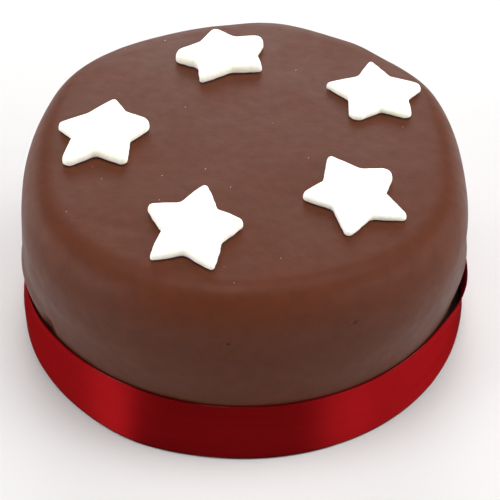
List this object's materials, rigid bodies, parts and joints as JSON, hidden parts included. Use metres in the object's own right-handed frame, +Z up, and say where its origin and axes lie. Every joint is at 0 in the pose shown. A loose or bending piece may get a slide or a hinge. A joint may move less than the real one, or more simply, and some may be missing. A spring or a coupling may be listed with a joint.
{
  "type": "chocolate star cake",
  "caption": "Round celebration cake under smooth chocolate sugarpaste, with flat white sugarpaste stars on top and a red satin ribbon round its base.",
  "frame": {"origin": "middle of the flat base that the cake rests on", "axes": "+Z up, the front of the cake as pictured faces -Y, +X to its right as seen from the front"},
  "size_m": [0.182, 0.1836, 0.0856],
  "materials": {
    "chocolate_paste": "smooth rolled chocolate sugarpaste, soft satin",
    "white_paste": "rolled white sugarpaste, matt and slightly dusty",
    "red_satin": "red double-faced satin ribbon with a fine woven edge"
  },
  "bodies": {
    "root": {"cake": "chocolate_paste", "star_back": "white_paste", "star_right": "white_paste", "star_left": "white_paste", "star_front": "white_paste", "star_near": "white_paste", "ribbon": "red_satin"}
  },
  "joints": []
}
